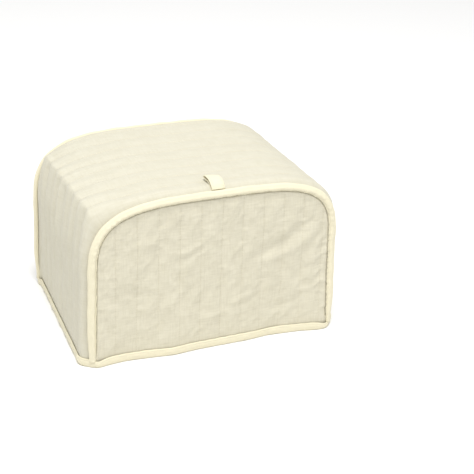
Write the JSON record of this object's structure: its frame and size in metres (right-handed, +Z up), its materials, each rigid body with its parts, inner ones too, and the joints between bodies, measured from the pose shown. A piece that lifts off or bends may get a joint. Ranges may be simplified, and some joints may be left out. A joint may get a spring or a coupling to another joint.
{
  "type": "quilted toaster cover",
  "caption": "Fitted quilted cotton cover with arched end panels, a boxed band, bound seams and hem, and a small strap on top; open underneath.",
  "frame": {"origin": "middle of the cover's footprint, on the surface that its hem stands on", "axes": "+X to the right as seen from the front panel, +Y from the front panel to the back panel, +Z up"},
  "size_m": [0.298, 0.2186, 0.1927],
  "materials": {
    "panel_cotton": "natural cream quilted cotton, matt",
    "band_cotton": "natural cream quilted cotton, matt",
    "tape_cotton": "pale cream cotton bias tape, matt"
  },
  "bodies": {
    "root": {"front_panel": "panel_cotton", "back_panel": "panel_cotton", "band": "band_cotton", "front_binding": "tape_cotton", "back_binding": "tape_cotton", "hem_binding": "tape_cotton", "loop": "tape_cotton"}
  },
  "joints": []
}
